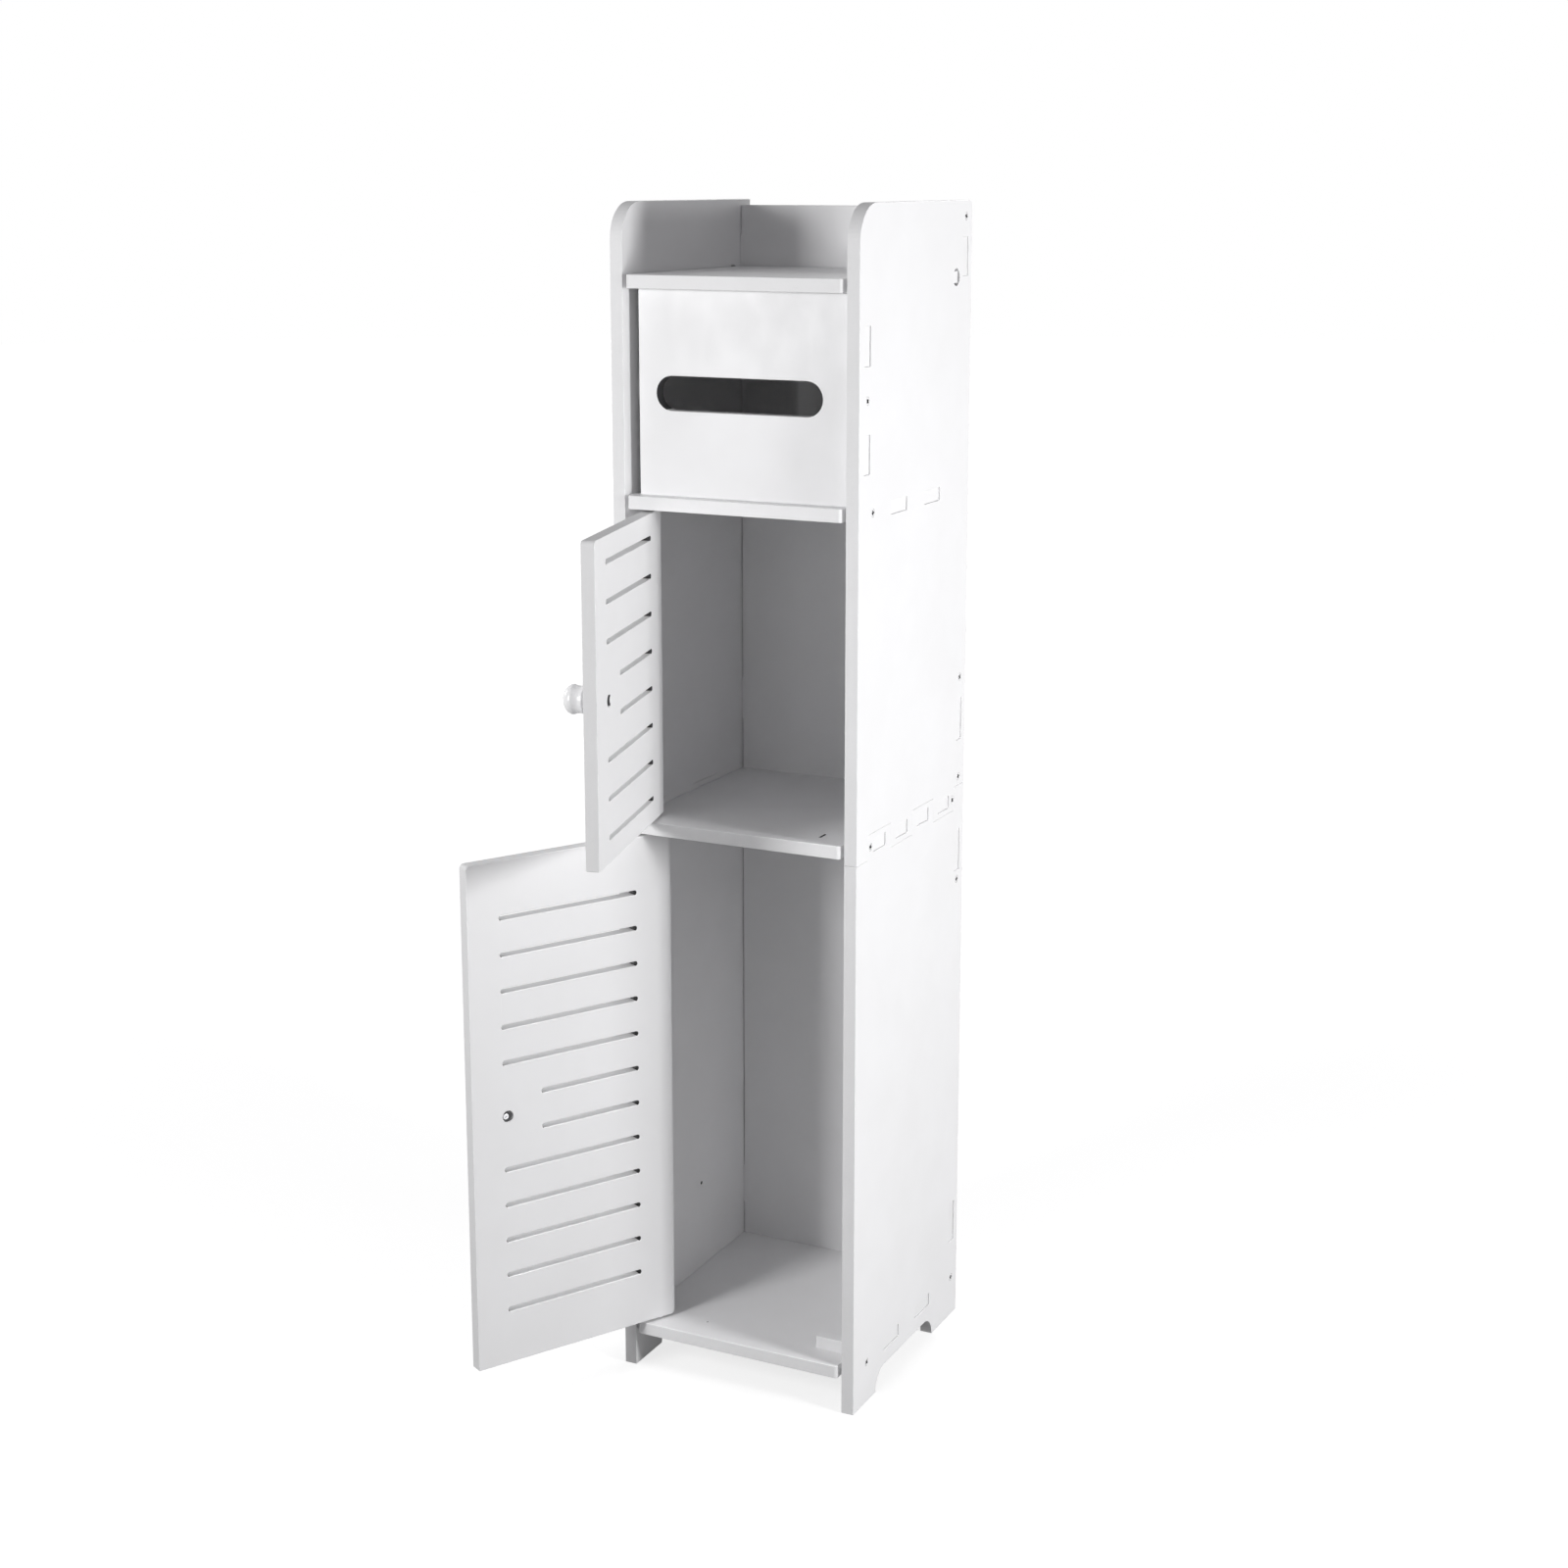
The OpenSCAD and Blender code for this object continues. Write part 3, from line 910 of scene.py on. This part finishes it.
@dataclass
class Carcass:
    """The fixed boards: two halves a side, the back, the shelves and the panel."""

    sides: tuple[str, ...] = ("left_side_upper", "left_side_lower",
                              "right_side_upper", "right_side_lower")
    backs: tuple[str, ...] = ("back_upper", "back_lower")
    inner: tuple[str, ...] = ("paper_shelf", "middle_shelf", "bottom_shelf",
                              "slot_panel", "lower_door_stop")
    side_break: float = 0.25 * MM
    # Share of painted shade on the sides' rims, which darkens their front edges.
    side_painted_rim_shade: float = 0.06
    back_break: float = 0.3 * MM

    def build(self, finishes: Finishes) -> None:
        """Dresses every fixed board.

        Args:
            finishes: The materials.
        """
        for name in self.sides:
            Board(name, Body.CARCASS, self.side_break, painted_rim_shade=self.side_painted_rim_shade).dress(finishes)
        for name in self.backs:
            Board(name, Body.CARCASS, self.back_break).dress(finishes)
        for name in self.inner:
            Board(name, Body.CARCASS).dress(finishes)


# --- hardware ---


@dataclass
class CrossScrew:
    """A screw with a cross recess, pointing down from the middle of its head."""

    head_r: float
    shank_r: float
    length: float
    head_h: float
    domed: bool = False
    recess_r: float = 2.1 * MM
    recess_w: float = 0.85 * MM
    recess_h: float = 1.8 * MM
    # Material of the recess faces; 1 is the near-black one that paints shade into the recess.
    recess_finish: int = 1
    recess_taper: float = 0.45
    rim_share: float = 1.25
    point: float = 4.0 * MM
    point_share: float = 0.15
    steps: int = 24

    def add_to(self, shape: BMesh, place: Matrix) -> None:
        """Adds the screw to a mesh.

        Args:
            shape: The mesh.
            place: From the screw's own axes to the row's.
        """
        start = set(shape.verts)
        cross = self._cross(shape)
        ring = self._ring(shape, self.recess_r * self.rim_share)
        bmesh.ops.bridge_loops(shape, edges=cross + ring)
        self._sink(shape, cross)
        self._body(shape, ring)
        new = [vert for vert in shape.verts if vert not in start]
        faces = list(dict.fromkeys(face for vert in new for face in vert.link_faces))
        bmesh.ops.recalc_face_normals(shape, faces=faces)
        bmesh.ops.transform(shape, matrix=place, verts=new)

    def _ring(self, shape: BMesh, radius: float) -> list[BMEdge]:
        """Adds a ring at the height of the head's face."""
        made = bmesh.ops.create_circle(shape, cap_ends=False, radius=radius, segments=self.steps)
        return list(dict.fromkeys(edge for vert in made["verts"] for edge in vert.link_edges))

    def _cross(self, shape: BMesh) -> list[BMEdge]:
        """Adds a ring and pulls it into the outline of the cross."""
        edges = self._ring(shape, self.recess_r)
        middle = (self.recess_r + self.recess_w) / 2
        arm = ((self.recess_r, 0.0), (self.recess_r, self.recess_w), (middle, self.recess_w),
               (self.recess_w, self.recess_w), (self.recess_w, middle),
               (self.recess_w, self.recess_r))
        for vert in {vert for edge in edges for vert in edge.verts}:
            turn = math.atan2(vert.co.y, vert.co.x) % (2 * math.pi)
            step = round(turn / (2 * math.pi) * self.steps) % self.steps
            x, y = arm[step % len(arm)]
            quarter = Matrix.Rotation(math.pi / 2 * (step // len(arm)), 3, "Z")
            vert.co = quarter @ Vector((x, y, 0.0))
        return edges

    def _sink(self, shape: BMesh, edges: list[BMEdge]) -> None:
        """Draws the cross down into the head, narrowing it, and closes it."""
        made = bmesh.ops.extrude_edge_only(shape, edges=edges)
        verts = [item for item in made["geom"] if isinstance(item, BMVert)]
        floor = [item for item in made["geom"] if isinstance(item, BMEdge)]
        bmesh.ops.scale(shape, vec=(self.recess_taper, self.recess_taper, 1.0), verts=verts)
        bmesh.ops.translate(shape, vec=(0.0, 0.0, -self.recess_h), verts=verts)
        bmesh.ops.contextual_create(shape, geom=floor)
        for face in {face for vert in verts for face in vert.link_faces}:
            face.material_index = self.recess_finish

    def _body(self, shape: BMesh, edges: list[BMEdge]) -> None:
        """Draws the head, the shank and the point, one ring after the other."""
        crown, unit = (DOME, self.head_h) if self.domed else (COUNTERSUNK, 1.0)
        rings = [(self.head_r * share, -deep * unit) for share, deep in crown]
        rings += [(self.shank_r, -self.head_h), (self.shank_r, -self.length + self.point),
                  (self.shank_r * self.point_share, -self.length)]
        radius, height = self.recess_r * self.rim_share, 0.0
        for next_radius, next_height in rings:
            made = bmesh.ops.extrude_edge_only(shape, edges=edges)
            verts = [item for item in made["geom"] if isinstance(item, BMVert)]
            edges = [item for item in made["geom"] if isinstance(item, BMEdge)]
            grow = next_radius / radius
            bmesh.ops.scale(shape, vec=(grow, grow, 1.0), verts=verts)
            bmesh.ops.translate(shape, vec=(0.0, 0.0, next_height - height), verts=verts)
            radius, height = next_radius, next_height
        bmesh.ops.contextual_create(shape, geom=edges)


@dataclass
class SideScrews:
    """The row of countersunk screws in one side."""

    node: str
    outward: Vector
    head_r: float = 3.25 * MM
    shank_r: float = 1.8 * MM
    head_h: float = 2.2 * MM
    first_turn: float = 17.0
    next_turn: float = 37.0

    def build(self, finishes: Finishes) -> None:
        """Puts a screw where the solid has one, each turned its own way.

        Args:
            finishes: The materials.
        """
        source = merged_copy(self.node)
        shape = bmesh.new()
        for number, part in enumerate(islands(source)):
            low, high = corners(part)
            length = high.x - low.x
            face_x = high.x if self.outward.x > 0 else low.x
            centre = Vector((face_x, (low.y + high.y) / 2, (low.z + high.z) / 2))
            turn = self.outward.to_track_quat("Z", "Y").to_matrix().to_4x4()
            angle = self.first_turn + self.next_turn * number
            spin = Matrix.Rotation(math.radians(angle), 4, "Z")
            screw = CrossScrew(self.head_r, self.shank_r, length, self.head_h)
            screw.add_to(shape, Matrix.Translation(centre) @ turn @ spin)
        source.free()
        for face in shape.faces:
            face.smooth = True
        # The recess takes the near-black material: painted shade.
        piece = as_piece(f"{self.node}_set", shape, (finishes.coat, finishes.oxide),
                         sharp=SCREW_SHARP)
        settle(piece, Body.CARCASS, Slot.STEEL, self.node)


@dataclass
class HingePin:
    """A straight pin with its ends broken, in the edge of a door."""

    node: str
    body: Body
    edge_angle: float = 40.0
    break_width: float = 0.35 * MM
    end_dot: float = 0.98

    def build(self, finishes: Finishes) -> None:
        """Dresses the pin from its solid.

        Args:
            finishes: The materials.
        """
        shape = merged_copy(self.node)
        break_edges(shape, sharp_edges(shape, self.edge_angle), self.break_width)
        for face in shape.faces:
            face.smooth = abs(face.normal.z) < self.end_dot
        piece = as_piece(f"{self.node}_rod", shape, (finishes.steel,))
        settle(piece, self.body, Slot.STEEL, self.node)


@dataclass
class Knob:
    """A moulded knob, dressed from its solid."""

    node: str
    body: Body
    edge_angle: float = 50.0
    break_width: float = 0.3 * MM
    sharp: float = 45.0

    def build(self, finishes: Finishes) -> None:
        """Smooths the knob and breaks the edge of its foot.

        Args:
            finishes: The materials.
        """
        shape = merged_copy(self.node)
        break_edges(shape, sharp_edges(shape, self.edge_angle), self.break_width)
        broken = {face for face in shape.faces if is_strip(face, self.break_width)}
        mark(shape, Layer.RUB, broken, 1.0)
        for face in shape.faces:
            face.smooth = True
        piece = as_piece(f"{self.node}_cap", shape, (finishes.knob,), sharp=self.sharp)
        settle(piece, self.body, Slot.KNOB, self.node)


@dataclass
class Door:
    """A louvred door with its two pins, its knob and the knob's screw."""

    body: Body
    break_width: float = 0.55 * MM
    head_r: float = 2.8 * MM
    head_h: float = 2.0 * MM
    shank_r: float = 1.75 * MM
    washer_r: float = 4.4 * MM
    washer_t: float = 0.8 * MM
    washer_wall: float = 1.5 * MM
    washer_lip: float = 0.2 * MM
    washer_break: float = 0.15 * MM
    washer_steps: int = 48
    recess_r: float = 1.4 * MM
    recess_w: float = 0.4 * MM
    recess_h: float = 1.2 * MM
    screw_turn: float = 31.0
    # Share of painted shade on the door's rim, which darkens its edges.
    edge_painted_rim_shade: float = 0.23

    @property
    def name(self) -> str:
        """The door's own node."""
        return self.body.value

    @property
    def stem(self) -> str:
        """The word that starts the names of its small pieces."""
        return self.name.split("_", maxsplit=1)[0]

    def build(self, finishes: Finishes) -> None:
        """Dresses the door and everything on it.

        Args:
            finishes: The materials.
        """
        Board(self.name, self.body, self.break_width, painted_rim_shade=self.edge_painted_rim_shade).dress(finishes)
        for end in ("top", "bottom"):
            HingePin(f"{self.name}_{end}_pin", self.body).build(finishes)
        Knob(f"{self.stem}_knob", self.body).build(finishes)
        self._knob_screw(finishes)

    def _knob_screw(self, finishes: Finishes) -> None:
        """Puts a domed screw in the recess of the inner face.

        Args:
            finishes: The materials.
        """
        node = f"{self.stem}_knob_screw"
        source = merged_copy(node)
        inward = self._inward(source)
        along = [vert.co.dot(inward) for vert in source.verts]
        low, high = corners(source.verts)
        centre = (low + high) / 2
        centre += inward * (max(along) - self.washer_lip - centre.dot(inward))
        source.free()
        shape = bmesh.new()
        turn = inward.to_track_quat("Z", "Y").to_matrix().to_4x4()
        spin = Matrix.Rotation(math.radians(self.screw_turn), 4, "Z")
        place = Matrix.Translation(centre) @ turn @ spin
        length = max(along) - min(along) - self.washer_lip
        screw = CrossScrew(self.head_r, self.shank_r, length, self.head_h, domed=True,
                           recess_r=self.recess_r, recess_w=self.recess_w,
                           recess_h=self.recess_h, recess_finish=0)
        screw.add_to(shape, place)
        self._washer(shape, place)
        for face in shape.faces:
            face.smooth = True
        piece = as_piece(f"{node}_set", shape, (finishes.steel, finishes.washer),
                         sharp=SCREW_SHARP)
        settle(piece, self.body, Slot.STEEL, node)

    def _washer(self, shape: BMesh, place: Matrix) -> None:
        """Adds the cupped washer round the screw's head, drawn near black as painted shade.

        Args:
            shape: The mesh.
            place: From the screw's own axes to the row's.
        """
        foot = -self.head_h - self.washer_t
        inside = self.washer_r - self.washer_wall
        profile = ((self.washer_r, foot), (self.washer_r, self.washer_lip),
                   (inside, self.washer_lip), (inside, -self.head_h))
        rings = []
        for radius, height in profile:
            made = bmesh.ops.create_circle(
                shape, cap_ends=False, radius=radius, segments=self.washer_steps,
                matrix=place @ Matrix.Translation((0.0, 0.0, height)))
            rings.append(made["verts"])
        faces = [shape.faces.new(rings[0]), shape.faces.new(rings[-1])]
        for low, high in zip(rings, rings[1:]):
            for step in range(len(low)):
                after = (step + 1) % len(low)
                faces.append(shape.faces.new((low[step], low[after], high[after], high[step])))
        for face in faces:
            face.material_index = 1
        bmesh.ops.recalc_face_normals(shape, faces=faces)
        edges = dict.fromkeys(edge for ring in rings[:-1] for vert in ring
                              for edge in vert.link_edges if edge.other_vert(vert) in ring)
        break_edges(shape, edges, self.washer_break)

    def _inward(self, source: BMesh) -> Vector:
        """Finds the way from the knob to the head of its screw.

        Args:
            source: The screw's solid.

        Returns:
            A unit vector out of the door's inner face.
        """
        knob_low, knob_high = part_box(f"{self.stem}_knob")
        low, high = corners(source.verts)
        way = (low + high) / 2 - (Vector(knob_low) + Vector(knob_high)) / 2
        way.z = 0.0
        return way.normalized()


# --- stage ---


@dataclass(frozen=True)
class Lamp:
    """One soft lamp that faces the column."""

    name: str
    azimuth: float
    height: float
    distance: float
    width: float
    tall: float
    power: float
    aim: float = 0.5

    def build(self) -> None:
        """Hangs the lamp and turns it to the column.

        The azimuth is counted from the front, and is positive to the right.
        """
        turn = math.radians(self.azimuth)
        place = Vector((math.sin(turn) * self.distance, -math.cos(turn) * self.distance,
                        self.height))
        light = bpy.data.lights.new(self.name, "AREA")
        light.shape = "RECTANGLE"
        light.size = self.width
        light.size_y = self.tall
        light.energy = self.power
        lamp = bpy.data.objects.new(self.name, light)
        lamp.location = place
        way = Vector((0.0, 0.0, self.aim)) - place
        lamp.rotation_euler = way.to_track_quat("-Z", "Y").to_euler()
        bpy.context.scene.collection.objects.link(lamp)


@dataclass(frozen=True)
class Eye:
    """The camera, where the picture was taken from.

    The picture's camera looked level from the height of the tray. This one is
    tipped a little instead, so that its shift stays small. The tip and the
    turn are in degrees.
    """

    place: tuple[float, float, float] = (0.907, -1.8561, 1.0216)
    tip: float = 12.10
    turn: float = 26.30
    lens: float = 56.98
    sensor: float = 36.0
    shift_y: float = -0.05
    near: float = 0.05
    far: float = 60.0

    def build(self) -> None:
        """Stands the camera in the scene."""
        data = bpy.data.cameras.new("view")
        data.sensor_width = self.sensor
        data.sensor_fit = "HORIZONTAL"
        data.lens = self.lens
        data.shift_y = self.shift_y
        data.clip_start = self.near
        data.clip_end = self.far
        camera = bpy.data.objects.new("view", data)
        camera.location = self.place
        camera.rotation_euler = (math.radians(90.0 - self.tip), 0.0, math.radians(self.turn))
        bpy.context.scene.collection.objects.link(camera)
        bpy.context.scene.camera = camera


@dataclass
class Studio:
    """The pale floor, the soft lamps and the camera."""

    ambient: float = 0.21
    shade: RGB = (0.975, 0.965, 1.0)
    floor_white: float = 0.75
    floor_diffuse: float = 0.32
    floor_rough: float = 0.9
    floor_radius: float = 14.0
    floor_steps: int = 96
    floor_drop: float = 0.2 * MM
    glow_near: float = 0.7
    glow_far: float = 3.2
    lamps: tuple[Lamp, ...] = (
        Lamp("right_lamp", 87.0, 0.88, 1.6, 0.4, 0.5, 8.2),
        Lamp("right_front_lamp", 79.0, 0.80, 1.6, 0.2, 0.4, 15.0),
        Lamp("left_front_lamp", -24.0, 1.0, 1.6, 0.4, 0.5, 16.6),
        Lamp("left_lamp", -91.0, 1.05, 1.6, 0.3, 0.3, 5.0),
        Lamp("rear_lamp", 185.0, 1.6, 2.4, 1.2, 1.0, 22.0),
    )

    def build(self) -> None:
        """Sets up the world, the floor, the lamps and the camera."""
        scene = bpy.context.scene
        scene.view_settings.view_transform = "Standard"
        self._world(scene)
        self._floor(scene)
        for lamp in self.lamps:
            lamp.build()
        Eye().build()

    @staticmethod
    def _seen(bench: Bench) -> Socket:
        """Gives 1 where the eye sees the backdrop, also in a reflection."""
        path = bench.add("ShaderNodeLightPath")
        seen = bench.sums("ADD", path.outputs["Is Camera Ray"], path.outputs["Is Glossy Ray"])
        return bench.sums("ADD", seen, path.outputs["Is Transmission Ray"], clamp=True)

    def _world(self, scene: bpy.types.Scene) -> None:
        """Makes a world that is white to the eye and grey as light."""
        world = bpy.data.worlds.new("studio")
        world.use_nodes = True
        scene.world = world
        bench = Bench(world.node_tree)
        background = world.node_tree.nodes["Background"]
        seen = self._seen(bench)
        level = bench.span(seen, 0.0, 1.0, self.ambient, 1.0)
        bench.feed(background, Color=bench.blend(seen, self.shade, (1.0, 1.0, 1.0)),
                   Strength=level)

    def _floor(self, scene: bpy.types.Scene) -> None:
        """Lays a white floor that takes the shadow."""
        shape = bmesh.new()
        bmesh.ops.create_circle(shape, cap_ends=True, radius=self.floor_radius,
                                segments=self.floor_steps)
        mesh = bpy.data.meshes.new("studio_floor")
        shape.to_mesh(mesh)
        shape.free()
        floor = bpy.data.objects.new("studio_floor", mesh)
        floor.location.z = -self.floor_drop
        scene.collection.objects.link(floor)
        material, bench, shader = new_material("studio_floor")
        bench.feed(shader, Base_Color=(*[self.floor_diffuse] * 3, 1.0),
                   Roughness=self.floor_rough, Specular_IOR_Level=0.0)
        far = bench.add("ShaderNodeVectorMath", operation="LENGTH")
        bench.plug(far.inputs[0], object_place(bench))
        glow = bench.span(far.outputs["Value"], self.glow_near, self.glow_far,
                          self.floor_white, 1.0)
        light = bench.add("ShaderNodeEmission")
        bench.feed(light, Strength=bench.sums("MULTIPLY", glow, self._seen(bench)))
        both = bench.add("ShaderNodeAddShader")
        bench.plug(both.inputs[0], shader.outputs[0])
        bench.plug(both.inputs[1], light.outputs[0])
        bench.plug(material.node_tree.nodes["Material Output"].inputs["Surface"], both.outputs[0])
        mesh.materials.append(material)


# --- main ---


def main() -> None:
    """Builds the pieces in order."""
    logging.basicConfig(level=logging.INFO, format="%(message)s")
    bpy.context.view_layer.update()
    finishes = Finishes()
    Carcass().build(finishes)
    for side, way in (("left", -1.0), ("right", 1.0)):
        SideScrews(f"{side}_side_screws", Vector((way, 0.0, 0.0))).build(finishes)
    Board("tray_lid", Body.LID).dress(finishes)
    for body in (Body.UPPER_DOOR, Body.LOWER_DOOR):
        Door(body).build(finishes)
    Studio().build()


if __name__ == "__main__":
    main()
